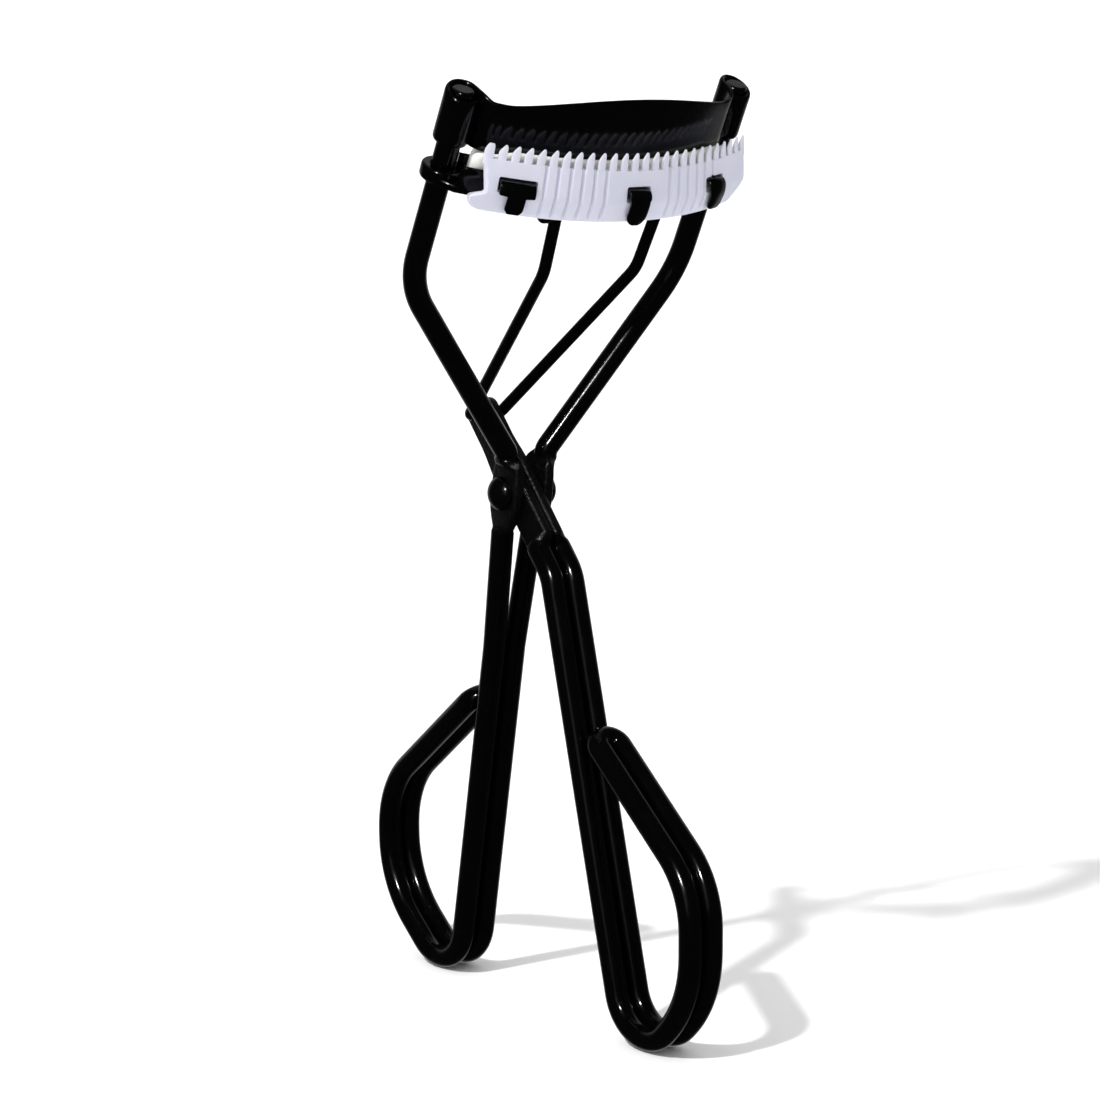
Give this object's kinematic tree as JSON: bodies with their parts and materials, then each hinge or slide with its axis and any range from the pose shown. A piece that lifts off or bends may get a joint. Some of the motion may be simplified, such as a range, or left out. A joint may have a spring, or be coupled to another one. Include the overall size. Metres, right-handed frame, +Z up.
{
  "type": "eyelash curler",
  "caption": "Scissor-style wire eyelash curler with a curved jaw, a silicone pad and a clip-on lash comb, standing on its finger loops with the jaw closed",
  "frame": {"origin": "on the surface the curler stands on, at the middle of its bounding box, between the two finger loops", "axes": "+Z up, from the finger loops to the jaws; X across the jaws, along the pivot rivet; -Y towards the comb side"},
  "size_m": [0.0396, 0.0574, 0.1012],
  "materials": {
    "black_enamel": "glossy black enamel over steel wire and sheet",
    "silicone": "satin cream-white silicone",
    "comb_plastic": "satin pale lavender plastic"
  },
  "bodies": {
    "frame": {"frame_wire": "black_enamel", "upper_jaw_plate": "black_enamel", "pivot_rivet": "black_enamel"},
    "lever": {"lever_wire": "black_enamel"},
    "lower_jaw": {"lower_jaw_channel": "black_enamel", "silicone_pad": "silicone", "lash_comb": "comb_plastic"},
    "push_link": {"push_wire": "black_enamel"}
  },
  "joints": [
    {"name": "lever_hinge", "type": "hinge", "parent": "frame", "child": "lever", "pos_m": [0, 0.0031, 0.0565], "axis": [1, 0, 0], "range_deg": [-38, 0]},
    {"name": "jaw_slide", "type": "slide", "parent": "frame", "child": "lower_jaw", "axis": [0, -0.4407, 0.8976], "range_m": [-0.0072, 0]},
    {"name": "link_hinge", "type": "hinge", "parent": "lever", "child": "push_link", "pos_m": [0, 0.0099, 0.06424], "axis": [1, 0, 0], "range_deg": [0, 42]}
  ],
  "couplings": [
    {"joint": "jaw_slide", "follows": "lever_hinge", "m_per_rad": 0.010291},
    {"joint": "link_hinge", "follows": "lever_hinge", "ratio": -1.0205}
  ]
}
